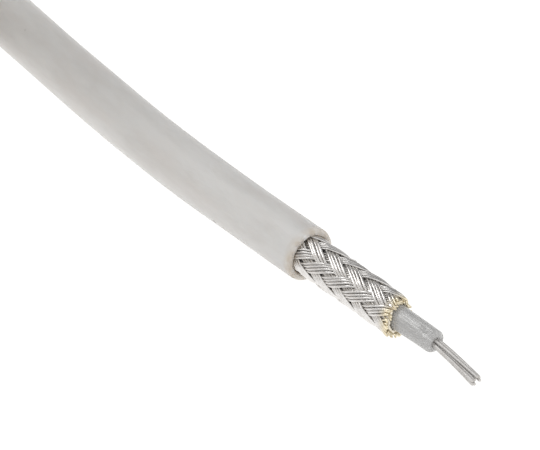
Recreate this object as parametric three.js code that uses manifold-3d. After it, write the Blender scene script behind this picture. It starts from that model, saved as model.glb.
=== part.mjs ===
// Miniature white coaxial cable, 3 m long: a small tied coil, a short loose stretch and a stripped end.
// Millimetres, +Z up. The coil lies flat, and the cable's loose stretch lies on the same level surface.

import * as THREE from 'three';
import { mergeVertices } from 'three/addons/utils/BufferGeometryUtils.js';
import Module from 'manifold-3d';

const wasm = await Module();
wasm.setup();

// Cable: diameters and walls of its layers, from the outside in
const jacketDiameter = 1.93;
const jacketWall = 0.22;
const braidDiameter = 1.46;
const braidThickness = 0.24;
const dielectricDiameter = 0.86;
const strandDiameter = 0.10;
const strandClearance = 0.005;
const boreClearance = 0.02;
const layerSides = 12;
const strandSides = 6;

// Stripped end: how far each layer reaches past the one outside it
const braidExposed = 4.45;
const dielectricExposed = 1.98;
const conductorExposed = 2.08;
const strandSplay = 0.10;
const strandDroop = 0.415;

// Coil: its bore and its turns, which nest in rows half a turn aside of each other, and how much
// looser they lie on each side of the section than where the ties draw them in
const coilBore = 20.6;
const turnsAcross = 4;
const turnRows = 8;
const turnSlack = 0.3;
const turnGroove = 0.3;
const coilSegments = 36;

// Loose stretch: where it leaves the coil's outer turns, and its line from there as
// distances along and aside of the direction in which it leaves
const exitAzimuth = THREE.MathUtils.degToRad(15);
const looseLine = [
  [0, 0],
  [4.5, 0],
  [9.0, 0],
  [13.5, 0],
  [16.8, 0.06],
  [20.2, 0.25],
  [23.5, 0.56],
  [26.5, 0.89],
];
const looseSteps = 8;
const strippedSteps = 3;
const pieceGap = 0.3;

// Cable ties around the coil
const tieAzimuths = [45, 225].map(THREE.MathUtils.degToRad);
const tieWidth = 2.5;
const tieThickness = 0.9;
const tieGap = 0.05;
const tieCorner = 1.6;
const tieHeadWidth = 4.4;
const tieHeadHeight = 4.9;
const tieHeadDepth = 3.2;
const tieTail = 1.4;

// Sizes that follow
const cableRadius = jacketDiameter / 2;
const rowPitch = jacketDiameter * Math.sin(Math.PI / 3);
const coilHeight = (turnRows - 1) * rowPitch + jacketDiameter + 2 * turnSlack;
const coilInnerRadius = coilBore / 2;
const coilOuterRadius = coilInnerRadius + (turnsAcross + 0.5) * jacketDiameter + 2 * turnSlack;
const looseRadius = coilOuterRadius - cableRadius;

const materials = {
  jacket: new THREE.MeshStandardMaterial({ color: 0xcbc9c4, roughness: 0.55, metalness: 0.0 }),
  braid: new THREE.MeshStandardMaterial({ color: 0xb9b3a8, roughness: 0.35, metalness: 1.0 }),
  dielectric: new THREE.MeshStandardMaterial({ color: 0xb4b3b0, roughness: 0.4, metalness: 0.0 }),
  conductor: new THREE.MeshStandardMaterial({ color: 0xb5b2ac, roughness: 0.3, metalness: 1.0 }),
  tie: new THREE.MeshStandardMaterial({ color: 0xe4e0d2, roughness: 0.45, metalness: 0.0 }),
};

// A closed mesh with merged vertices as a solid that can be joined and cut
function toSolid(geometry) {
  const bare = geometry.clone();
  bare.deleteAttribute('normal');
  bare.deleteAttribute('uv');
  const merged = mergeVertices(bare, 1e-4);
  return new wasm.Manifold(new wasm.Mesh({
    numProp: 3,
    vertProperties: new Float32Array(merged.attributes.position.array),
    triVerts: new Uint32Array(merged.index.array),
  }));
}

function toGeometry(solid) {
  const mesh = solid.getMesh();
  const geometry = new THREE.BufferGeometry();
  geometry.setAttribute('position', new THREE.BufferAttribute(mesh.vertProperties, 3));
  geometry.setIndex(new THREE.BufferAttribute(mesh.triVerts, 1));
  geometry.computeVertexNormals();
  return geometry;
}

function addMesh(group, name, geometry, material) {
  const mesh = new THREE.Mesh(geometry, material);
  mesh.name = name;
  group.add(mesh);
}

// The cable's line, measured from where it leaves the coil and straight on past the jacket's end
const exitPoint = new THREE.Vector2(Math.cos(exitAzimuth), Math.sin(exitAzimuth)).multiplyScalar(looseRadius);
const exitAlong = new THREE.Vector2(Math.sin(exitAzimuth), -Math.cos(exitAzimuth));
const exitAside = new THREE.Vector2(Math.cos(exitAzimuth), Math.sin(exitAzimuth));
const looseCurve = new THREE.CatmullRomCurve3(looseLine.map(([along, aside]) => {
  const place = exitPoint.clone().addScaledVector(exitAlong, along).addScaledVector(exitAside, aside);
  return new THREE.Vector3(place.x, place.y, cableRadius);
}), false, 'centripetal');
const looseLength = looseCurve.getLength();
const endPoint = looseCurve.getPointAt(1);
const endDirection = looseCurve.getTangentAt(1);
const endAside = new THREE.Vector3(0, 0, 1).cross(endDirection);
const up = new THREE.Vector3(0, 0, 1);

function pointAlong(distance) {
  if (distance <= looseLength) return looseCurve.getPointAt(distance / looseLength);
  return endPoint.clone().addScaledVector(endDirection, distance - looseLength);
}

function asideAlong(distance) {
  if (distance >= looseLength) return endAside.clone();
  return up.clone().cross(looseCurve.getTangentAt(distance / looseLength));
}

// Even steps along the loose stretch, which every layer shares, then steps to the layer's own end
function stationsTo(end) {
  const stations = [];
  for (let i = 0; i <= looseSteps; i += 1) stations.push(looseLength * i / looseSteps);
  for (let i = 1; i <= strippedSteps; i += 1) {
    if (end > looseLength) stations.push(looseLength + (end - looseLength) * i / strippedSteps);
  }
  return stations;
}

// A path that steps from point to point of a list
class SteppedPath extends THREE.Curve {
  constructor(points) {
    super();
    this.points = points;
  }

  getPointAt(u) {
    const place = u * (this.points.length - 1);
    const before = Math.min(Math.floor(place), this.points.length - 2);
    return this.points[before].clone().lerp(this.points[before + 1], place - before);
  }

  getTangentAt(u) {
    const last = this.points.length - 1;
    const nearest = Math.round(u * last);
    const before = this.points[Math.max(nearest - 1, 0)];
    const after = this.points[Math.min(nearest + 1, last)];
    return after.clone().sub(before).normalize();
  }
}

function polygon(radius, sides, target) {
  for (let i = 0; i < sides; i += 1) {
    const angle = 2 * Math.PI * (i + 0.5) / sides;
    const x = radius * Math.cos(angle);
    const y = radius * Math.sin(angle);
    if (i === 0) target.moveTo(x, y);
    else target.lineTo(x, y);
  }
  target.closePath();
  return target;
}

function sweep(points, radius, boreRadius, sides) {
  const section = polygon(radius, sides, new THREE.Shape());
  if (boreRadius > 0) section.holes.push(polygon(boreRadius, sides, new THREE.Path()));
  return new THREE.ExtrudeGeometry(section, {
    steps: points.length - 1,
    curveSegments: 1,
    extrudePath: new SteppedPath(points),
  });
}

// What the coil takes up, with the gap that its neighbours keep to it
function coilEnvelope() {
  const envelope = new THREE.CylinderGeometry(
    coilOuterRadius + pieceGap, coilOuterRadius + pieceGap, 2 * coilHeight, 2 * coilSegments);
  envelope.rotateX(Math.PI / 2);
  return toSolid(envelope);
}

const envelope = coilEnvelope();

function trimAtCoil(geometry) {
  return toGeometry(toSolid(geometry).subtract(envelope));
}

function addLayer(group, name, diameter, bore, end, material) {
  const points = stationsTo(end).map(pointAlong);
  addMesh(group, name, trimAtCoil(sweep(points, diameter / 2, bore / 2, layerSides)), material);
}

// Six strands lie around a middle one. Past the dielectric they bend down and part into two groups,
// and the middle one goes with the left group
function strandPoints(index, dielectricEnd, conductorEnd) {
  const pitch = strandDiameter + strandClearance;
  const angle = Math.PI * (index + 0.5) / 3;
  const isMiddle = index === 6;
  const side = isMiddle ? 0 : pitch * Math.cos(angle);
  const height = isMiddle ? 0 : pitch * Math.sin(angle);
  const splay = isMiddle ? -strandSplay / 2 : Math.sign(side) * strandSplay;
  const freeLength = conductorEnd - dielectricEnd;
  const stations = stationsTo(dielectricEnd);
  for (let i = 1; i <= strippedSteps; i += 1) stations.push(dielectricEnd + freeLength * i / strippedSteps);
  return stations.map((station) => {
    const free = Math.max(station - dielectricEnd, 0) / freeLength;
    return pointAlong(station)
      .addScaledVector(asideAlong(station), side + splay * Math.min(1.5 * free, 1))
      .addScaledVector(up, height - strandDroop * free ** 1.5);
  });
}

// The coil: one turned ring whose ridges are its turns, slotted where the ties draw it in
function coilProfile() {
  const points = [];
  const halfRow = rowPitch / 2;
  const land = jacketDiameter / 4;
  const firstTurn = (coilInnerRadius + coilOuterRadius - (turnsAcross - 1) * jacketDiameter) / 2;
  const turnCentres = Array.from({ length: turnsAcross }, (_, i) => firstTurn + i * jacketDiameter);
  const rowCentres = Array.from({ length: turnRows }, (_, i) => turnSlack + cableRadius + i * rowPitch);
  turnCentres.forEach((centre, i) => {
    if (i > 0) points.push([centre - cableRadius, turnGroove]);
    points.push([centre - land, 0], [centre + land, 0]);
  });
  rowCentres.forEach((centre, i) => {
    if (i > 0) points.push([coilOuterRadius - turnGroove, centre - halfRow]);
    points.push([coilOuterRadius, centre]);
  });
  turnCentres.slice().reverse().forEach((centre, i) => {
    if (i > 0) points.push([centre + cableRadius, coilHeight - turnGroove]);
    points.push([centre + land, coilHeight], [centre - land, coilHeight]);
  });
  rowCentres.slice().reverse().forEach((centre, i) => {
    if (i > 0) points.push([coilInnerRadius + turnGroove, centre + halfRow]);
    points.push([coilInnerRadius, centre]);
  });
  points.push(points[0]);
  return points.map(([radius, height]) => new THREE.Vector2(radius, height));
}

function turnToZUp(geometry) {
  geometry.rotateX(Math.PI / 2);
  return geometry;
}

// A rounded rectangle around the turns that a tie holds, grown outwards by an offset. The band lies
// under the turns on the level surface, so they are lifted by its thickness there
function heldOutline(offset, corner, target) {
  const left = coilInnerRadius + turnSlack - offset;
  const right = coilOuterRadius - turnSlack + offset;
  const low = tieThickness - offset;
  const high = tieThickness + coilHeight - 2 * turnSlack + offset;
  target.moveTo(left + corner, low);
  target.lineTo(right - corner, low);
  target.absarc(right - corner, low + corner, corner, -Math.PI / 2, 0, false);
  target.lineTo(right, high - corner);
  target.absarc(right - corner, high - corner, corner, 0, Math.PI / 2, false);
  target.lineTo(left + corner, high);
  target.absarc(left + corner, high - corner, corner, Math.PI / 2, Math.PI, false);
  target.lineTo(left, low + corner);
  target.absarc(left + corner, low + corner, corner, Math.PI, 1.5 * Math.PI, false);
  return target;
}

// A shape in the coil's section, given a width across the section and turned to its place
function standInSection(shape, width, azimuth) {
  const geometry = new THREE.ExtrudeGeometry(shape, { depth: width, bevelEnabled: false, curveSegments: 4 });
  geometry.translate(0, 0, -width / 2);
  geometry.rotateX(Math.PI / 2);
  geometry.rotateZ(azimuth);
  return geometry;
}

function boxInSection(inner, outer, width, height, azimuth) {
  const box = new THREE.BoxGeometry(outer - inner, width, height);
  box.translate((inner + outer) / 2, 0, coilHeight / 2);
  box.rotateZ(azimuth);
  return toSolid(box);
}

function tieSlot(azimuth) {
  const spare = jacketDiameter;
  const frame = new THREE.Shape();
  frame.moveTo(coilInnerRadius - spare, -spare);
  frame.lineTo(coilOuterRadius + spare, -spare);
  frame.lineTo(coilOuterRadius + spare, coilHeight + spare);
  frame.lineTo(coilInnerRadius - spare, coilHeight + spare);
  frame.closePath();
  frame.holes.push(heldOutline(-tieGap, tieCorner - tieThickness, new THREE.Path()));
  return toSolid(standInSection(frame, tieWidth + 2 * tieGap, azimuth));
}

function addCoil(group) {
  let ring = toSolid(turnToZUp(new THREE.LatheGeometry(coilProfile(), coilSegments)));
  for (const azimuth of tieAzimuths) ring = ring.subtract(tieSlot(azimuth));
  addMesh(group, 'cable_coil', toGeometry(ring), materials.jacket);
}

// One tie: its closed band, the head on the coil's outer side and the trimmed tail through it
function addTie(group, name, azimuth) {
  const band = heldOutline(tieThickness, tieCorner, new THREE.Shape());
  band.holes.push(heldOutline(0, tieCorner - tieThickness, new THREE.Path()));
  const headInner = coilOuterRadius + tieGap;
  const headOuter = headInner + tieHeadDepth;
  const bandMiddle = coilOuterRadius - turnSlack + tieThickness / 2;
  const tie = toSolid(standInSection(band, tieWidth, azimuth))
    .add(boxInSection(headInner, headOuter, tieHeadWidth, tieHeadHeight, azimuth))
    .add(boxInSection(bandMiddle, headOuter + tieTail, tieWidth, tieThickness, azimuth));
  addMesh(group, name, toGeometry(tie), materials.tie);
}

const model = new THREE.Group();

const jacketBore = jacketDiameter - 2 * jacketWall;
const braidBore = braidDiameter - 2 * braidThickness;
const dielectricBore = 3 * strandDiameter + 2 * strandClearance + 2 * boreClearance;
const braidEnd = looseLength + braidExposed;
const dielectricEnd = braidEnd + dielectricExposed;
const conductorEnd = dielectricEnd + conductorExposed;

addCoil(model);
tieAzimuths.forEach((azimuth, i) => addTie(model, `cable_tie_${i + 1}`, azimuth));
addLayer(model, 'jacket', jacketDiameter, jacketBore, looseLength, materials.jacket);
addLayer(model, 'braid', braidDiameter, braidBore, braidEnd, materials.braid);
addLayer(model, 'dielectric', dielectricDiameter, dielectricBore, dielectricEnd, materials.dielectric);
for (let index = 0; index < 7; index += 1) {
  const points = strandPoints(index, dielectricEnd, conductorEnd);
  const strand = trimAtCoil(sweep(points, strandDiameter / 2, 0, strandSides));
  addMesh(model, `strand_${index + 1}`, strand, materials.conductor);
}

// The origin is under the middle of the whole piece's box, on the surface that it lies on
const extent = new THREE.Box3().setFromObject(model, true);
const middle = extent.getCenter(new THREE.Vector3());
model.position.set(-middle.x, -middle.y, -extent.min.z);

export default model;
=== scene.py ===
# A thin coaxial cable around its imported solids: the stripped end, the loose stretch and the tied coil.
# Lengths are millimetres and angles degrees, until make_mesh turns them into metres.

import math
import random

import bpy
import numpy as np
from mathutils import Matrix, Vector


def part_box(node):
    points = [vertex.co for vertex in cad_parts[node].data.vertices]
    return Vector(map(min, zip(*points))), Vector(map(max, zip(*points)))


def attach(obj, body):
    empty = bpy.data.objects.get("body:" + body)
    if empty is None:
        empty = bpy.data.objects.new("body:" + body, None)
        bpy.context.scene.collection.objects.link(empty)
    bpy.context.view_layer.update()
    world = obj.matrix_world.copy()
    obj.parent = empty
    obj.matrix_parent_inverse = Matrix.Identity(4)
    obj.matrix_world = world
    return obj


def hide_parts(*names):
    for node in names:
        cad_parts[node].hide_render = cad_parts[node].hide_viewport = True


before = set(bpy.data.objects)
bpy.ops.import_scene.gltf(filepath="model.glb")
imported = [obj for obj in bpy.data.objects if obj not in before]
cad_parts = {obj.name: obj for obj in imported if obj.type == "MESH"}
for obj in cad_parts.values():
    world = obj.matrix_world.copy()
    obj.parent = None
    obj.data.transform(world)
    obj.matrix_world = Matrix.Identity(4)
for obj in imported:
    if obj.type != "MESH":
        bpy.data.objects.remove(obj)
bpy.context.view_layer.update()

MM = 0.001
UP = np.array([0.0, 0.0, 1.0])

# The cable's layers
JACKET_DIAMETER = 1.93
JACKET_BORE = 1.46
DIELECTRIC_DIAMETER = 0.86
DIELECTRIC_BORE = 0.33
STRAND_DIAMETER = 0.115
WIRE_DIAMETER = 0.092

# The stripped end, as distances past the jacket's end
BRAID_END = 4.45
DIELECTRIC_END = 6.43
CONDUCTOR_END = 8.51

# The loose stretch leaves the coil here, and follows the same points as the solids
EXIT_AZIMUTH = 15.0
LOOSE_LINE = [
    (0.0, 0.0),
    (4.5, 0.0),
    (9.0, 0.0),
    (13.5, 0.0),
    (16.8, 0.06),
    (20.2, 0.25),
    (23.5, 0.56),
    (26.5, 0.89),
]

# The coil's turns: nested rows, held by two ties
TURNS_ACROSS = 4
TURN_ROWS = 8
TURN_SLACK = 0.3
TIE_AZIMUTHS = (45.0, 225.0)
TIE_WIDTH = 2.5
TIE_THICKNESS = 0.9

RADIUS = JACKET_DIAMETER / 2


def box_of(node):
    low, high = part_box(node)
    return np.array(low) / MM, np.array(high) / MM


def unit(vector):
    return vector / np.linalg.norm(vector)


coil_low, coil_high = box_of("cable_coil")
COIL_CENTRE = (coil_low + coil_high) / 2 * np.array([1.0, 1.0, 0.0])
COIL_OUTER = (coil_high[0] - coil_low[0]) / 2
COIL_HEIGHT = coil_high[2]
COIL_INNER = COIL_OUTER - (TURNS_ACROSS + 0.5) * JACKET_DIAMETER - 2 * TURN_SLACK


def ring_point(azimuth, radius, height):
    angle = math.radians(azimuth)
    return COIL_CENTRE + np.array([radius * math.cos(angle), radius * math.sin(angle), height])


# The loose stretch


def catmull_rom(points, spacing):
    """A smooth line through the points, stepped at about the given spacing."""
    points = [np.array(p, float) for p in points]
    padded = [2 * points[0] - points[1], *points, 2 * points[-1] - points[-2]]
    line = []
    for i in range(1, len(padded) - 2):
        before, start, end, after = padded[i - 1 : i + 3]
        steps = max(2, round(np.linalg.norm(end - start) / spacing))
        for t in np.arange(steps) / steps:
            line.append(
                0.5
                * (
                    2 * start
                    + (end - before) * t
                    + (2 * before - 5 * start + 4 * end - after) * t**2
                    + (3 * start - before - 3 * end + after) * t**3
                )
            )
    line.append(padded[-2])
    return np.array(line)


def loose_points():
    """The loose stretch's points, from the coil to the jacket's end."""
    angle = math.radians(EXIT_AZIMUTH)
    along = np.array([math.sin(angle), -math.cos(angle), 0.0])
    aside = np.array([math.cos(angle), math.sin(angle), 0.0])
    start = ring_point(EXIT_AZIMUTH, COIL_OUTER - RADIUS, RADIUS)
    return [start + along * a + aside * b for a, b in LOOSE_LINE]


SEEN_STEP = 0.12
loose_line = catmull_rom(loose_points(), SEEN_STEP)
END = loose_line[-1]
END_ALONG = unit(loose_line[-1] - loose_line[-2])
END_ASIDE = np.cross(UP, END_ALONG)

# The camera: a long lens, at the photograph's angle to the stripped end

FRAME_WIDTH, FRAME_HEIGHT = 540, 450
SENSOR_WIDTH = 36.0
CAMERA_DISTANCE = 230.0
CAMERA_ELEVATION = 35.0
CAMERA_TURN = 50.5
PIXELS_PER_MM = 29.9
JACKET_END_PIXEL = (311.0, 256.0)


def turned(vector, degrees):
    angle = math.radians(degrees)
    x, y = vector[:2]
    cosine, sine = math.cos(angle), math.sin(angle)
    return np.array([x * cosine - y * sine, x * sine + y * cosine, 0.0])


camera_right = unit(turned(END_ALONG, CAMERA_TURN))
camera_forward = turned(camera_right, 90)
elevation = math.radians(CAMERA_ELEVATION)
camera_view = camera_forward * math.cos(elevation) - UP * math.sin(elevation)
camera_up = camera_forward * math.sin(elevation) + UP * math.cos(elevation)


def add_camera():
    focal_pixels = PIXELS_PER_MM * CAMERA_DISTANCE
    right = (JACKET_END_PIXEL[0] - FRAME_WIDTH / 2) / focal_pixels
    down = (JACKET_END_PIXEL[1] - FRAME_HEIGHT / 2) / focal_pixels
    ray = camera_view + right * camera_right - down * camera_up
    place = END - ray * CAMERA_DISTANCE
    data = bpy.data.cameras.new("camera")
    data.sensor_width = SENSOR_WIDTH
    data.lens = focal_pixels / FRAME_WIDTH * SENSOR_WIDTH
    data.clip_start = 0.01
    data.clip_end = 10.0
    camera = bpy.data.objects.new("camera", data)
    bpy.context.collection.objects.link(camera)
    camera.location = Vector(place * MM)
    camera.rotation_euler = Vector(camera_view).to_track_quat("-Z", "Y").to_euler()
    bpy.context.scene.camera = camera


add_camera()

# Meshes


def make_mesh(name, points, faces, material, attributes=None, smooth=True):
    """A mesh object in metres from points in millimetres, with named values for its points."""
    mesh = bpy.data.meshes.new(name)
    mesh.from_pydata((np.asarray(points) * MM).tolist(), [], faces)
    for key, values in (attributes or {}).items():
        layer = mesh.attributes.new(key, "FLOAT", "POINT")
        layer.data.foreach_set("value", np.asarray(values, np.float32))
    mesh.materials.append(material)
    mesh.polygons.foreach_set("use_smooth", [smooth] * len(mesh.polygons))
    mesh.update()
    piece = bpy.data.objects.new(name, mesh)
    bpy.context.collection.objects.link(piece)
    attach(piece, "root")
    return piece


def transported_frames(line, first_side):
    """Two directions across the line at each of its points, that don't twist along it."""
    tangents = np.gradient(line, axis=0)
    tangents /= np.linalg.norm(tangents, axis=1)[:, None]
    side = unit(first_side - tangents[0] * (first_side @ tangents[0]))
    sides = []
    for tangent in tangents:
        side = unit(side - tangent * (side @ tangent))
        sides.append(side)
    sides = np.array(sides)
    return sides, np.cross(tangents, sides)


def tube_points(line, radii, sides_count, first_side):
    """The points of a round tube along a line, with a radius at each of the line's points."""
    side, over = transported_frames(line, first_side)
    angles = 2 * np.pi * np.arange(sides_count) / sides_count
    cosines, sines = np.cos(angles)[None, :, None], np.sin(angles)[None, :, None]
    wheel = cosines * side[:, None, :] + sines * over[:, None, :]
    radii = np.broadcast_to(np.asarray(radii, float).reshape(len(line), -1), (len(line), sides_count))
    points = line[:, None, :] + wheel * radii[:, :, None]
    return points.reshape(-1, 3)


def tube_faces(rings, sides_count, start=0):
    """The faces of a tube of that many rings, closed by a flat face at each end."""
    faces = []
    for i in range(rings - 1):
        for j in range(sides_count):
            k = (j + 1) % sides_count
            low, high = start + i * sides_count, start + (i + 1) * sides_count
            faces.append((low + j, low + k, high + k, high + j))
    last = start + (rings - 1) * sides_count
    faces.append(tuple(start + j for j in reversed(range(sides_count))))
    faces.append(tuple(last + j for j in range(sides_count)))
    return faces


# Materials


class Nodes:
    """A short way to write the nodes of a material or of the world."""

    def __init__(self, owner):
        owner.use_nodes = True
        self.owner = owner
        self.tree = owner.node_tree

    def add(self, kind, inputs=None, **settings):
        node = self.tree.nodes.new(kind)
        for key, value in settings.items():
            setattr(node, key, value)
        for key, value in (inputs or {}).items():
            self.set(node, key, value)
        return node

    def set(self, node, key, value):
        if isinstance(value, bpy.types.NodeSocket):
            self.tree.links.new(value, node.inputs[key])
        else:
            node.inputs[key].default_value = value

    def shade(self, **inputs):
        shader = self.tree.nodes["Principled BSDF"]
        for key, value in inputs.items():
            self.set(shader, key.replace("_", " "), value)

    def place(self):
        """Places on the object in millimetres."""
        coordinates = self.add("ShaderNodeTexCoord")
        mapping = self.add("ShaderNodeMapping", {"Vector": coordinates.outputs["Object"]})
        mapping.inputs["Scale"].default_value = [1.0 / MM] * 3
        return mapping.outputs["Vector"]

    def value(self, name):
        return self.add("ShaderNodeAttribute", attribute_name=name).outputs["Fac"]

    def noise(self, vector, scale, detail=3.0, roughness=0.55):
        inputs = {"Vector": vector, "Scale": scale, "Detail": detail, "Roughness": roughness}
        return self.add("ShaderNodeTexNoise", inputs).outputs["Fac"]

    def math(self, operation, a, b=0.0):
        node = self.add("ShaderNodeMath", operation=operation)
        self.set(node, 0, a)
        self.set(node, 1, b)
        return node.outputs[0]

    def span(self, value, low, high, to_low=0.0, to_high=1.0):
        inputs = {"Value": value, "From Min": low, "From Max": high, "To Min": to_low, "To Max": to_high}
        return self.add("ShaderNodeMapRange", inputs).outputs["Result"]

    def mix(self, factor, a, b, blend="MIX"):
        node = self.add("ShaderNodeMix", data_type="RGBA", blend_type=blend)
        self.set(node, 0, factor)
        self.set(node, 6, a)
        self.set(node, 7, b)
        return node.outputs[2]

    def vector(self, x, y, z):
        return self.add("ShaderNodeCombineXYZ", {"X": x, "Y": y, "Z": z}).outputs["Vector"]

    def bump(self, height, distance, normal=None):
        inputs = {"Height": height, "Distance": distance * MM, "Strength": 1.0}
        if normal is not None:
            inputs["Normal"] = normal
        return self.add("ShaderNodeBump", inputs).outputs["Normal"]


def new_material(name):
    return Nodes(bpy.data.materials.new(name))


def grey(level, warm=0.0):
    return (level * (1 + warm), level, level * (1 - warm), 1.0)


def jacket_material():
    nodes = new_material("jacket_white")
    round_x, round_y, along = nodes.value("round_x"), nodes.value("round_y"), nodes.value("along")
    place = nodes.vector(round_x, round_y, along)
    stretched = nodes.vector(round_x, round_y, nodes.math("MULTIPLY", along, 0.3))
    mottle = nodes.span(nodes.noise(stretched, 1.6, 4.0), 0.42, 0.68)
    base = nodes.mix(mottle, (0.575, 0.567, 0.555, 1), (0.535, 0.522, 0.507, 1))
    warm = nodes.span(nodes.noise(stretched, 0.9, 2.0), 0.5, 0.72)
    base = nodes.mix(nodes.math("MULTIPLY", warm, 0.5), base, (0.56, 0.53, 0.508, 1))
    speck = nodes.add("ShaderNodeTexVoronoi", {"Vector": place, "Scale": 0.55, "Randomness": 1.0})
    spot = nodes.span(speck.outputs["Distance"], 0.035, 0.055, 1.0, 0.0)
    base = nodes.mix(nodes.math("MULTIPLY", spot, 0.6), base, (0.16, 0.14, 0.12, 1))
    # Painted light: the jacket is lighter further from the stripped end, up to 24 mm and beyond,
    # offsetting the shade the coil casts there
    painted_light_ramp = nodes.span(along, 0.0, 24.0, 0.95, 1.25)
    base = nodes.mix(1.0, base, nodes.vector(painted_light_ramp, painted_light_ramp, painted_light_ramp), "MULTIPLY")
    fine = nodes.noise(place, 14.0, 3.0)
    blotch = nodes.noise(place, 2.2, 3.0)
    near_mouth = nodes.span(along, 0.03, 0.35, 0.8, 0.0)
    stained = nodes.math("MULTIPLY", near_mouth, nodes.span(blotch, 0.3, 0.6))
    base = nodes.mix(stained, base, (0.40, 0.345, 0.28, 1))
    coarse = nodes.noise(stretched, 2.4, 3.0)
    normal = nodes.bump(coarse, 0.035)
    normal = nodes.bump(fine, 0.004, normal)
    nodes.shade(Base_Color=base, Roughness=nodes.span(fine, 0.3, 0.7, 0.42, 0.58), Normal=normal)
    nodes.shade(Subsurface_Weight=1.0, Subsurface_Scale=0.6 * MM, Subsurface_Radius=(1.0, 0.95, 0.9))
    nodes.shade(Specular_IOR_Level=0.4)
    return nodes.owner


def wire_material(name, level, roughness, painted_depth_shade):
    """Silver-plated copper, with painted shade: browner on the wires that lie deep, dark grey where
    shade and dark reflections are painted on, and bare copper at the cut tips.
    """
    nodes = new_material(name)
    place = nodes.place()
    low, tip = nodes.value("low"), nodes.value("tip")
    blotch = nodes.span(nodes.noise(place, 5.0, 4.0), 0.4, 0.7)
    silver = nodes.mix(blotch, grey(level, 0.02), grey(level * 0.84, 0.035))
    # Painted shade: the deeper a wire lies, the browner and darker it is painted
    silver = nodes.mix(nodes.math("MULTIPLY", low, painted_depth_shade), silver, (0.36, 0.33, 0.28, 1))
    copper = nodes.mix(blotch, (0.85, 0.77, 0.58, 1), (0.64, 0.55, 0.39, 1))
    # Painted shade and dark reflection: dark grey where a wire carries it
    silver = nodes.mix(nodes.value("painted_shade"), silver, (0.17, 0.168, 0.165, 1))
    color = nodes.mix(tip, silver, copper)
    grain = nodes.noise(place, 45.0, 2.0)
    rough = nodes.span(grain, 0.3, 0.7, roughness, roughness + 0.16)
    nodes.shade(Base_Color=color, Metallic=1.0, Roughness=rough)
    nodes.shade(Normal=nodes.bump(grain, 0.003))
    return nodes.owner


def dielectric_material():
    nodes = new_material("dielectric_white")
    along_axis = nodes.value("along")
    round_x, round_y = nodes.value("round_x"), nodes.value("round_y")
    streaked = nodes.vector(round_x, round_y, nodes.math("MULTIPLY", along_axis, 0.12))
    streaks = nodes.span(nodes.noise(streaked, 7.0, 3.0), 0.45, 0.65)
    base = nodes.mix(streaks, (0.375, 0.372, 0.367, 1), (0.475, 0.472, 0.465, 1))
    fine = nodes.noise(nodes.vector(round_x, round_y, along_axis), 12.0, 3.0)
    normal = nodes.bump(streaks, 0.008)
    normal = nodes.bump(fine, 0.006, normal)
    nodes.shade(Base_Color=base, Roughness=0.25, Normal=normal)
    nodes.shade(Subsurface_Weight=0.6, Subsurface_Scale=0.3 * MM, Subsurface_Radius=(1.0, 1.0, 1.0))
    return nodes.owner


def tie_material():
    nodes = new_material("tie_nylon")
    place = nodes.place()
    cloud = nodes.noise(place, 0.8, 3.0)
    base = nodes.mix(cloud, (0.72, 0.70, 0.62, 1), (0.80, 0.78, 0.71, 1))
    nodes.shade(Base_Color=base, Roughness=nodes.span(nodes.noise(place, 3.0), 0.3, 0.7, 0.35, 0.5))
    nodes.shade(Subsurface_Weight=0.3, Subsurface_Scale=0.5 * MM)
    nodes.shade(Normal=nodes.bump(nodes.noise(place, 9.0), 0.01))
    return nodes.owner


JACKET = jacket_material()
BRAID = wire_material("braid_wire", 0.84, 0.28, 0.4)
STRAND = wire_material("strand_wire", 0.62, 0.54, 0.2)
DIELECTRIC = dielectric_material()
TIE = tie_material()

# The coil's turns

SLICES = 72
LAST_AZIMUTH = 225.0
CROSSOVER_START = 240.0
CROSSOVER_STEP = 15.4
CROSSOVER_WIDTH = 26.0


def nested_cells():
    """The places of the turns where a tie holds them, in the order in which they are wound."""
    cells = []
    for row in range(TURN_ROWS):
        shift = 0.0 if row % 2 == 0 else RADIUS
        widest = COIL_OUTER - TURN_SLACK - RADIUS - shift
        radii = [widest - i * JACKET_DIAMETER for i in range(TURNS_ACROSS)]
        if row % 2 == 1:
            radii.reverse()
        height = RADIUS + row * JACKET_DIAMETER * math.sin(math.pi / 3)
        cells.extend((radius, height) for radius in radii)
    cells.append(cells[-1])
    return np.array(cells)


def ease(t):
    t = np.clip(t, 0.0, 1.0)
    return t * t * (3 - 2 * t)


def wound_turns():
    """Each turn's radius and height at each slice of the coil, before the turns settle."""
    cells = nested_cells()
    azimuths = 360.0 * np.arange(SLICES) / SLICES
    turns = len(cells) - 1
    places = np.zeros((turns, SLICES, 2))
    for turn in range(turns):
        row = turn // TURNS_ACROSS
        crossover = CROSSOVER_START + (TURN_ROWS - 1 - row) * CROSSOVER_STEP
        share = ease((azimuths - crossover) / CROSSOVER_WIDTH + 0.5)[:, None]
        places[turn] = cells[turn] * (1 - share) + cells[turn + 1] * share
    return places


def away_from_ties():
    """For each slice, its distance from the nearest tie's middle, along the coil."""
    azimuths = 360.0 * np.arange(SLICES) / SLICES + EXIT_AZIMUTH
    middle = (COIL_INNER + COIL_OUTER) / 2
    gaps = [np.abs((azimuths - tie + 180) % 360 - 180) for tie in TIE_AZIMUTHS]
    return np.radians(np.min(gaps, axis=0)) * middle


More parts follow.
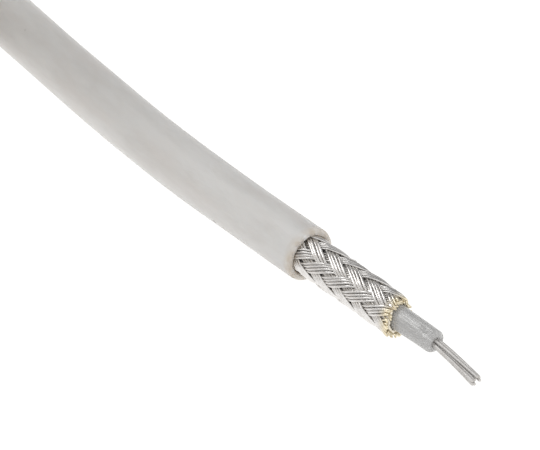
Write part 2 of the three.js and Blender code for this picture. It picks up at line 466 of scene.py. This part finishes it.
def settle(places, rounds=420):
    """Moves the turns apart and smooths them, inside the room that the ties and the floor leave them."""
    turns = len(places)
    held = away_from_ties() < TIE_WIDTH / 2 + 0.6
    inner = np.where(held, COIL_INNER + TURN_SLACK, COIL_INNER) + RADIUS
    outer = np.where(held, COIL_OUTER - TURN_SLACK, COIL_OUTER) - RADIUS
    floor = np.where(held, TIE_THICKNESS, 0.0) + RADIUS
    ceiling = np.where(held, TIE_THICKNESS + COIL_HEIGHT - 2 * TURN_SLACK, COIL_HEIGHT) - RADIUS
    chance = np.random.default_rng(7)
    last = turns * SLICES - round((360 - LAST_AZIMUTH) / 360 * SLICES)
    used = (np.arange(turns * SLICES) < last).reshape(turns, SLICES)
    both_used = used[:, None, :] & used[None, :, :]
    places = places + chance.normal(0, 0.03, places.shape)
    start = np.array([COIL_OUTER - RADIUS, RADIUS])
    for index in range(rounds):
        gap = places[:, None] - places[None, :]
        distance = np.sqrt((gap**2).sum(-1)) + 1e-9
        overlap = np.where(both_used, np.clip(JACKET_DIAMETER - distance, 0, None), 0.0)
        overlap[np.arange(turns), np.arange(turns)] = 0.0
        push = (gap / distance[..., None] * overlap[..., None]).sum(1) * 0.45
        places = places + push
        line = places.reshape(-1, 2)
        smooth = 0.35 if index < rounds - 60 else 0.12
        line[1:-1] += smooth * ((line[:-2] + line[2:]) / 2 - line[1:-1])
        places[..., 1] -= 0.002
        places[..., 0] = np.clip(places[..., 0], inner, outer)
        places[..., 1] = np.clip(places[..., 1], floor, ceiling)
        places[0, 0] = start
    return places.reshape(-1, 2)[:last]


def coil_line():
    """The wound length of the cable's line, from where the loose stretch joins it."""
    places = settle(wound_turns())
    azimuths = EXIT_AZIMUTH + 360.0 * np.arange(len(places)) / SLICES
    return np.array([ring_point(a, r, z) for a, (r, z) in zip(azimuths, places)])


wound_line = coil_line()

# The jacket: the whole cable's length, hollow at its stripped end

JACKET_SIDES_SEEN = 48
JACKET_SIDES_WOUND = 16
MOUTH_DEPTH = 0.9
MOUTH_ROUNDING = 0.17


def arc_lengths(line):
    return np.concatenate([[0.0], np.cumsum(np.linalg.norm(np.diff(line, axis=0), axis=1))])


def build_jacket():
    """One tube from the stripped end to the far end. Its loose stretch is finer, and slightly wavy."""
    seen = loose_line[::-1]
    wound = wound_line[1:]
    line = np.concatenate([seen, wound])
    lengths = arc_lengths(line)
    side, over = transported_frames(line, END_ASIDE)
    count = JACKET_SIDES_SEEN
    angles = 2 * np.pi * np.arange(count) / count
    wheel = np.stack([np.cos(angles), np.sin(angles)], axis=1)
    points, faces, along, round_x, round_y = [], [], [], [], []

    def add_ring(centre, ring_side, ring_over, radii, distance, sides):
        step = count // sides
        spokes = wheel[::step]
        start = len(points)
        for (c, s), radius in zip(spokes, np.broadcast_to(radii, (count,))[::step]):
            points.append(centre + (ring_side * c + ring_over * s) * radius)
            along.append(distance)
            round_x.append(c)
            round_y.append(s)
        return start, sides

    def join(low, high):
        (a, sides), (b, sides_b) = low, high
        if sides == sides_b:
            for j in range(sides):
                k = (j + 1) % sides
                faces.append((a + j, b + j, b + k, a + k))
            return
        step = sides // sides_b
        for j in range(sides_b):
            k = (j + 1) % sides_b
            edge = [a + (j * step + i) % sides for i in range(step + 1)]
            faces.append((*reversed(edge), b + j, b + k))

    def waviness(distance):
        lobes = 0.006 * np.sin(2 * angles + 0.35 * distance) + 0.005 * math.sin(1.1 * distance + 1.0)
        return lobes + 0.004 * np.sin(3 * angles - 0.8 * distance)

    rng = np.random.default_rng(3)
    cut = 0.03 * np.sin(angles + 0.6) + 0.015 * np.sin(3 * angles + 2.0) + 0.006 * rng.normal(size=count)
    bore = JACKET_BORE / 2
    rings = []
    inward = [(bore - 0.01, MOUTH_DEPTH), (bore, 0.25), (bore + 0.005, 0.05), (bore + 0.05, 0.0)]
    corner = [
        (RADIUS - MOUTH_ROUNDING * (1 - math.sin(t)), MOUTH_ROUNDING * (1 - math.cos(t)))
        for t in np.linspace(0, math.pi / 2, 5)
    ]
    for radius, depth in inward + corner:
        centre = END - END_ALONG * depth
        ring = add_ring(centre, side[0], over[0], np.full(count, radius), depth, count)
        fade = max(0.0, 1 - depth / 0.2)
        for j in range(count):
            points[ring[0] + j] = points[ring[0] + j] + END_ALONG * cut[j] * fade
        rings.append(ring)
    faces.append(tuple(rings[0][0] + j for j in range(count)))
    for i, centre in enumerate(line):
        if lengths[i] < 0.2:
            continue
        seen_ring = i < len(seen)
        sides = JACKET_SIDES_SEEN if seen_ring else JACKET_SIDES_WOUND
        fade = min(1.0, lengths[i] / 1.0) if seen_ring else 0.0
        radii = RADIUS + waviness(lengths[i]) * fade
        rings.append(add_ring(centre, side[i], over[i], radii, lengths[i], sides))
    for low, high in zip(rings, rings[1:]):
        join(low, high)
    last, sides = rings[-1]
    faces.append(tuple(last + j for j in reversed(range(sides))))
    attributes = {"along": along, "round_x": round_x, "round_y": round_y}
    jacket = make_mesh("cable_jacket", points, faces, JACKET, attributes)
    return jacket, line


# The braid: eight carriers each way, over two and under two

CARRIERS = 8
WIRES_PER_CARRIER = 4
WIRE_SPREAD = 9.2
BRAID_PITCH = 8.4
BRAID_START = -0.75
DIELECTRIC_TAPER = 0.025
TOP_RADIUS = 0.675
UNDER_RADIUS = 0.565
LINING_RADIUS = 0.585
# Painted shade and dark reflection on the wires that slant one way: some on all of them, more in two
# bands round the braid, each given by its angle, width and amount.
PAINTED_SHADE_WIRES = 0.12
PAINTED_SHADE_PLACES = [(96.0, 19.0, 0.55), (142.0, 14.0, 0.26)]
COLUMN_ANGLE = 180.0 / CARRIERS
FIRST_COLUMN = 95.2
CARRIER_PHASE = 86.8
BRAID_STEP = 0.06
WIRE_CLEARANCE = 0.005
MOUTH_EDGE = 0.1
WIRE_SIDES = 8


def stripped_place(distance, angle, radius):
    """Points at distances past the jacket's end, at angles round its axis from the side to the top."""
    turn = np.radians(angle)
    distance, turn, radius = np.broadcast_arrays(distance, turn, radius)
    across = END_ASIDE[None] * np.cos(turn)[:, None] + UP[None] * np.sin(turn)[:, None]
    return END[None] + END_ALONG[None] * distance[:, None] + across * radius[:, None]


def slant(angle):
    """How much further the braid reaches at an angle round it: its cut isn't square."""
    return 0.28 * (1 + np.cos(np.radians(angle - 185))) / 2


def looseness(angle):
    """From 0 where the cut wires are pressed in, above, to 1 where they stand out a little, below."""
    return (1 - np.cos(np.radians(angle - 60))) / 2


def braid_wire(direction, carrier, index, chance):
    """One wire's line, and at each point how deep it lies (for painted shade), how near its tip is and
    how much painted shade and dark reflection it carries.
    """
    offset = (index - (WIRES_PER_CARRIER - 1) / 2) * WIRE_SPREAD + chance.uniform(-0.7, 0.7)
    phase = CARRIER_PHASE if direction > 0 else 2 * FIRST_COLUMN - CARRIER_PHASE
    first_angle = phase + carrier * 360.0 / CARRIERS
    last_angle = first_angle + direction * 360.0 * BRAID_END / BRAID_PITCH + offset
    end = BRAID_END + slant(last_angle) + chance.uniform(-0.07, 0.03)
    steps = np.arange(BRAID_START, end, BRAID_STEP)
    steps = np.append(steps[:-1], end)
    centre = first_angle + direction * 360.0 * steps / BRAID_PITCH
    column = (centre + offset / 2 - FIRST_COLUMN) / COLUMN_ANGLE
    wave = np.clip(1.7 * np.sin(np.pi * (column + 0.5) / 2), -1, 1) * direction
    middle = (TOP_RADIUS + UNDER_RADIUS) / 2
    swing = (TOP_RADIUS - UNDER_RADIUS) / 2
    loosened = 0.012 * np.sin(2.1 * steps + carrier) + chance.uniform(-0.006, 0.006)
    bend = ease((steps - (end - 0.4)) / 0.4)
    loose = looseness(last_angle)
    pressed = (1 - loose) * chance.uniform(0.0, 0.13) - loose * chance.uniform(0.02, 0.10)
    radius = middle + swing * wave + loosened - bend * pressed
    inside_jacket = (JACKET_BORE - WIRE_DIAMETER) / 2 - WIRE_CLEARANCE
    radius = np.where(steps < MOUTH_EDGE, np.minimum(radius, inside_jacket), radius)
    wander = bend * chance.uniform(-3.0, 3.0) + 0.6 * np.sin(1.7 * steps + chance.uniform(0, 6.3))
    line = stripped_place(steps, centre + offset + wander, radius)
    # Painted shade and dark reflection, on the wires that slant one way only
    painted_shade = 0.0 * steps
    if direction < 0:
        painted_shade = painted_shade + PAINTED_SHADE_WIRES
        for place, width, amount in PAINTED_SHADE_PLACES:
            turn = (centre + offset - place + 180) % 360 - 180
            painted_shade = painted_shade + amount * np.exp(-((turn / width) ** 2))
    return line, (1 - wave) / 2, ease(1 - (end - steps) / 0.5), painted_shade


def braid_lining():
    """What shows between the wires and on the cut: a tube of the braid's lower wires, drawn as one."""
    outer, inner = LINING_RADIUS, DIELECTRIC_DIAMETER / 2 + 0.004
    start, end = BRAID_START, BRAID_END - 0.06
    sides = 64
    angles = 360.0 * np.arange(sides) / sides
    rough = 0.02 * np.sin(np.radians(11 * angles)) + 0.015 * np.sin(np.radians(17 * angles + 40))
    end = end + slant(angles)
    rings = [
        stripped_place(np.full(sides, start), angles, inner),
        stripped_place(np.full(sides, start), angles, outer),
        stripped_place(end - 0.1, angles, outer),
        stripped_place(end - 0.03 + rough, angles, outer - 0.02),
        stripped_place(end + rough, angles, (outer + inner) / 2),
        stripped_place(end - 0.03 + rough, angles, inner),
    ]
    faces = []
    for i in range(len(rings)):
        for j in range(sides):
            k = (j + 1) % sides
            a, b = i * sides, (i + 1) % len(rings) * sides
            faces.append((a + j, b + j, b + k, a + k))
    tips = np.repeat([0.0, 0.0, 0.0, 0.5, 0.6, 0.5], sides)
    # Painted shade between the wires: the lining browner and darker towards its upper side, most at 60
    # degrees round from the side
    low = np.tile(0.4 * (1 + np.cos(np.radians(angles - 60))) / 2, len(rings))
    return np.concatenate(rings), faces, low, tips


def joined_tubes(name, wires, diameter, sides_count, material, lining=None):
    """One mesh of many wires, each a closed tube with a rounded tip."""
    points, faces, low, tip, painted_shade = [], [], [], [], []
    total = 0
    if lining:
        lining_points, lining_faces, lining_painted_shade, lining_tip = lining
        points.append(lining_points)
        faces.extend(lining_faces)
        low.append(lining_painted_shade)
        tip.append(lining_tip)
        # The lining's painted shade also darkens it towards grey
        painted_shade.append(0.2 * lining_painted_shade)
        total = len(lining_points)
    for line, depth, near_tip, wire_painted_shade in wires:
        radii = np.full(len(line), diameter / 2)
        radii[-1] *= 0.7
        wire_points = tube_points(line, radii, sides_count, UP)
        faces.extend(tube_faces(len(line), sides_count, total))
        points.append(wire_points)
        low.append(np.repeat(depth, sides_count))
        tip.append(np.repeat(near_tip, sides_count))
        painted_shade.append(np.repeat(wire_painted_shade, sides_count))
        total += len(wire_points)
    attributes = {"low": np.concatenate(low), "tip": np.concatenate(tip), "painted_shade": np.concatenate(painted_shade)}
    return make_mesh(name, np.concatenate(points), faces, material, attributes)


def build_braid():
    chance = random.Random(11)
    wires = [
        braid_wire(direction, carrier, index, chance)
        for direction in (1, -1)
        for carrier in range(CARRIERS)
        for index in range(WIRES_PER_CARRIER)
    ]
    return joined_tubes("braid_wires", wires, WIRE_DIAMETER, WIRE_SIDES, BRAID, braid_lining())


# The dielectric and the strands


def build_dielectric():
    """The core tube: rounded at its cut, open where the strands come out, with a dent near its end."""
    radius = DIELECTRIC_DIAMETER / 2
    bore = DIELECTRIC_BORE / 2
    rounding = 0.16
    profile = [(BRAID_START, radius), (BRAID_END - 1.0, radius)]
    bare = np.arange(BRAID_END - 0.4, DIELECTRIC_END - rounding, 0.06)
    profile += [(d, radius - DIELECTRIC_TAPER * (d - bare[0]) / (bare[-1] - bare[0])) for d in bare]
    last = radius - DIELECTRIC_TAPER
    profile += [
        (DIELECTRIC_END - rounding * (1 - math.sin(t)), last - rounding * (1 - math.cos(t)))
        for t in np.linspace(0, math.pi / 2, 6)
    ]
    profile += [(DIELECTRIC_END - 0.004, bore + 0.02), (DIELECTRIC_END - 0.02, bore)]
    sides = 48
    angles = 360.0 * np.arange(sides) / sides
    points, along = [], []
    dent_place, dent_angle = DIELECTRIC_END - 0.42, 112.0
    for distance, ring_radius in profile:
        turn = (angles - dent_angle + 180) % 360 - 180
        near = np.exp(-(((distance - dent_place) / 0.16) ** 2) - (turn / 16) ** 2)
        outer = ring_radius > bore + 0.03
        lumps = 0.006 * np.sin(np.radians(3 * angles) + 1.7 * distance)
        lumps = lumps + 0.004 * np.sin(np.radians(5 * angles) + 3 * distance)
        radii = ring_radius + (lumps - 0.075 * near if outer else 0.0)
        points.append(stripped_place(np.full(sides, distance), angles, np.broadcast_to(radii, (sides,))))
        along.extend([distance] * sides)
    points = np.concatenate(points)
    faces = [tuple(reversed(face)) for face in tube_faces(len(profile), sides)]
    turns = np.radians(np.tile(angles, len(profile)))
    attributes = {"along": along, "round_x": np.cos(turns), "round_y": np.sin(turns)}
    return make_mesh("dielectric_core", points, faces, DIELECTRIC, attributes)


STRAND_SPLAY = 0.058
STRAND_DROOP = 0.415
STRAND_TWIST = 22.0


def strand_line(index, chance):
    """Six strands lie round a middle one. Past the core they bend down and part into two groups."""
    end = CONDUCTOR_END + chance.uniform(-0.1, -0.04)
    distances = np.linspace(DIELECTRIC_END - 0.55, end, 56)
    free = np.clip((distances - DIELECTRIC_END) / (CONDUCTOR_END - DIELECTRIC_END), 0, None)
    angle = 60.0 * (index + 0.5) + STRAND_TWIST * (1 - free)
    is_middle = index == 6
    ring = 0.0 if is_middle else STRAND_DIAMETER + 0.003
    right = index in (0, 1, 5)
    splay = -STRAND_SPLAY / 2 if is_middle else STRAND_SPLAY * (1 if right else -1)
    opened = np.clip(0.15 + 0.85 * free, 0, 1)
    wave = 0.008 * np.sin(5 * free + 1.7 * index) * np.clip(free * 3, 0, 1)
    side = ring * np.cos(np.radians(angle)) + splay * opened + wave
    height = ring * np.sin(np.radians(angle)) - STRAND_DROOP * free**1.2
    across = END_ASIDE[None] * side[:, None] + UP[None] * height[:, None]
    line = END[None] + END_ALONG[None] * distances[:, None] + across
    # Painted shade in the core's bore: the strands browner there, and a little everywhere else
    low = np.clip(0.4 - free * 4, 0.1, 1)
    return line, low, ease(1 - (end - distances) / 0.1) * 0.05, 0.0 * distances


def build_strands():
    chance = random.Random(5)
    return [
        joined_tubes(f"strand_wire_{i + 1}", [strand_line(i, chance)], STRAND_DIAMETER, 12, STRAND)
        for i in range(7)
    ]


# The far end: a plain cut, on top of the coil


def build_far_end(line):
    """Thin discs of the layers on the far end's cut face."""
    tangent = unit(line[-1] - line[-2])
    side = unit(np.cross(UP, tangent))
    over = np.cross(tangent, side)
    pieces = []
    layers = [
        ("far_end_braid", 0.71, 0.015, BRAID),
        ("far_end_dielectric", DIELECTRIC_DIAMETER / 2, 0.03, DIELECTRIC),
        ("far_end_conductor", 0.15, 0.045, STRAND),
    ]
    sides = 32
    angles = 2 * np.pi * np.arange(sides) / sides
    for name, radius, height, material in layers:
        spokes = np.cos(angles)[:, None] * side + np.sin(angles)[:, None] * over
        rings = [
            line[-1] - tangent * 0.2 + spokes * radius,
            line[-1] + tangent * (height - 0.01) + spokes * radius,
            line[-1] + tangent * height + spokes * (radius - 0.01),
        ]
        points = np.concatenate(rings)
        count = len(points)
        attributes = {"low": np.full(count, 0.2), "tip": np.full(count, 0.8), "painted_shade": np.zeros(count)}
        for key in ("along", "round_x", "round_y"):
            attributes[key] = np.zeros(count)
        pieces.append(make_mesh(name, points, tube_faces(3, sides), material, attributes, smooth=False))
    return pieces


# The ties

TIE_NEAR_CORNER = RADIUS
TIE_FAR_CORNER = 2.05
TIE_DRAWN_DOWN = 0.3
TIE_HEAD = (3.2, 4.4, 4.9)
TIE_TAIL = 1.4
BAND_EDGE = 0.25


def add_bevel(piece, width, segments):
    bevel = piece.modifiers.new("bevel", "BEVEL")
    bevel.width = width * MM
    bevel.segments = segments
    bevel.limit_method = "ANGLE"


def tie_path():
    """The band's middle line in the coil's section. Its corners are wider where a row lies set back."""
    half = TIE_THICKNESS / 2
    left = COIL_INNER + TURN_SLACK - half
    right = COIL_OUTER - TURN_SLACK + half
    low = TIE_THICKNESS - half
    high = TIE_THICKNESS + COIL_HEIGHT - 2 * TURN_SLACK - TIE_DRAWN_DOWN + half
    near, far = TIE_NEAR_CORNER + half, TIE_FAR_CORNER + half
    centres = [
        (right - near, low + near, -90, near),
        (right - far, high - far, 0, far),
        (left + near, high - near, 90, near),
        (left + far, low + far, 180, far),
    ]
    path = []
    for radius, height, start, corner in centres:
        for degrees in np.linspace(start, start + 90, 9):
            turn = math.radians(degrees)
            path.append((radius + corner * math.cos(turn), height + corner * math.sin(turn)))
    return np.array(path)


def build_tie(number, azimuth):
    """A nylon tie: its band round the turns, its head on the outer side and its trimmed tail."""
    path = tie_path()
    ahead, behind = np.roll(path, -1, axis=0), np.roll(path, 1, axis=0)
    tangent = ahead - behind
    tangent /= np.linalg.norm(tangent, axis=1)[:, None]
    outward = np.stack([tangent[:, 1], -tangent[:, 0]], axis=1)
    half_width, half_thick = TIE_WIDTH / 2, TIE_THICKNESS / 2
    section = [
        (-half_width, -half_thick + BAND_EDGE / 2),
        (-half_width + BAND_EDGE / 2, -half_thick),
        (half_width - BAND_EDGE / 2, -half_thick),
        (half_width, -half_thick + BAND_EDGE / 2),
        (half_width, half_thick - BAND_EDGE),
        (half_width - BAND_EDGE, half_thick),
        (half_width - 0.7, half_thick),
        (half_width - 0.8, half_thick - 0.12),
        (-half_width + 0.8, half_thick - 0.12),
        (-half_width + 0.7, half_thick),
        (-half_width + BAND_EDGE, half_thick),
        (-half_width, half_thick - BAND_EDGE),
    ]
    angle = math.radians(azimuth)
    radial = np.array([math.cos(angle), math.sin(angle), 0.0])
    across = np.array([-math.sin(angle), math.cos(angle), 0.0])
    points, faces = [], []
    for place, out in zip(path, outward):
        for width, depth in section:
            radius, height = place + out * depth
            points.append(COIL_CENTRE + radial * radius + UP * height + across * width)
    rings, around = len(path), len(section)
    for i in range(rings):
        for j in range(around):
            a, b = i * around, (i + 1) % rings * around
            k = (j + 1) % around
            faces.append((a + j, a + k, b + k, b + j))
    band = make_mesh(f"tie_band_{number}", points, faces, TIE)
    add_bevel(band, 0.06, 2)

    depth, width, height = TIE_HEAD
    inner = COIL_OUTER + 0.05
    middle = COIL_HEIGHT / 2

    def block(name, low, high, half_across, half_high, taper, edge):
        corners, quads = [], []
        for radius, grow in ((low, 0.0), (high, -taper)):
            for side, up in ((-1, -1), (1, -1), (1, 1), (-1, 1)):
                corners.append(
                    COIL_CENTRE
                    + radial * radius
                    + across * side * (half_across + grow)
                    + UP * (middle + up * (half_high + grow))
                )
        quads += [(3, 2, 1, 0), (4, 5, 6, 7)]
        quads += [(i, (i + 1) % 4, 4 + (i + 1) % 4, 4 + i) for i in range(4)]
        piece = make_mesh(name, corners, quads, TIE)
        add_bevel(piece, edge, 3)
        return piece

    head = block(f"tie_head_{number}", inner, inner + depth, width / 2, height / 2, 0.3, 0.45)
    tail = block(
        f"tie_tail_{number}",
        COIL_OUTER - TURN_SLACK + TIE_THICKNESS / 2,
        inner + depth + TIE_TAIL,
        TIE_WIDTH / 2,
        TIE_THICKNESS / 2,
        0.0,
        0.1,
    )
    return [band, head, tail]


# Building, and hiding the imported solids that the pieces stand in for

jacket, cable_line = build_jacket()
braid = build_braid()
dielectric = build_dielectric()
strands = build_strands()
far_end = build_far_end(cable_line)
ties = [build_tie(i + 1, azimuth) for i, azimuth in enumerate(TIE_AZIMUTHS)]

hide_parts("cable_coil", "jacket")
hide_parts("braid")
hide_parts("dielectric")
for index, strand in enumerate(strands):
    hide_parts(f"strand_{index + 1}")
for number, pieces in enumerate(ties):
    for piece in pieces:
        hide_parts(f"cable_tie_{number + 1}")

# Floor, light and surroundings


def add_floor():
    size = 3.0
    mesh = bpy.data.meshes.new("floor")
    corners = [(-size, -size, 0), (size, -size, 0), (size, size, 0), (-size, size, 0)]
    mesh.from_pydata(corners, [], [(0, 1, 2, 3)])
    nodes = new_material("floor_white")
    nodes.shade(Base_Color=grey(0.1), Roughness=0.9, Specular_IOR_Level=0.0)
    nodes.shade(Emission_Color=(1, 0.993, 0.982, 1), Emission_Strength=1.03)
    mesh.materials.append(nodes.owner)
    floor = bpy.data.objects.new("floor", mesh)
    bpy.context.collection.objects.link(floor)


def direction_towards(azimuth, height):
    """A direction by its azimuth, from the camera's forward to its left, and its height, in degrees."""
    turn, rise = math.radians(azimuth), math.radians(height)
    level = camera_forward * math.cos(turn) - camera_right * math.sin(turn)
    return level * math.cos(rise) + UP * math.sin(rise)


def add_light(name, azimuth, height, distance, size, power):
    """A soft square light, at a distance and of a size in metres."""
    way = direction_towards(azimuth, height)
    data = bpy.data.lights.new(name, "AREA")
    data.shape = "SQUARE"
    data.size = size
    data.energy = power
    light = bpy.data.objects.new(name, data)
    bpy.context.collection.objects.link(light)
    light.location = Vector(END * MM + way * distance)
    light.rotation_euler = Vector(-way).to_track_quat("-Z", "Y").to_euler()


# The studio's walls as seen from the cable: each part's azimuth, height, width and level
WALL_LEVEL = 0.80
WALL_PARTS = [
    (-3, 35, 26, 0.06),
    (0, 82, 32, 0.10),
    (89, 12, 20, 0.22),
    (58, 11, 17, 0.25),
    (30, 10, 16, 0.35),
    (-165, 34, 45, 1.35),
    (-90, 30, 40, 1.15),
]


def add_world():
    world = bpy.data.worlds.new("surroundings")
    bpy.context.scene.world = world
    nodes = Nodes(world)
    direction = nodes.add("ShaderNodeTexCoord").outputs["Generated"]
    level = WALL_LEVEL
    for azimuth, height, width, part_level in WALL_PARTS:
        way = direction_towards(azimuth, height)
        inputs = {0: direction, 1: tuple(way)}
        near = nodes.add("ShaderNodeVectorMath", inputs, operation="DOT_PRODUCT").outputs["Value"]
        edge, core = math.cos(math.radians(width * 1.4)), math.cos(math.radians(width * 0.6))
        share = nodes.span(near, edge, core)
        kept = nodes.math("MULTIPLY", level, nodes.math("SUBTRACT", 1.0, share))
        level = nodes.math("ADD", kept, nodes.math("MULTIPLY", share, part_level))
    seen = nodes.add("ShaderNodeLightPath").outputs["Is Camera Ray"]
    level = nodes.math("MAXIMUM", level, seen)
    background = nodes.tree.nodes["Background"]
    nodes.set(background, "Strength", level)
    nodes.set(background, "Color", grey(1.0))


add_floor()
add_world()
add_light("softbox", 57, 49, 0.6, 0.30, 1.45)
bpy.context.scene.view_settings.view_transform = "Standard"
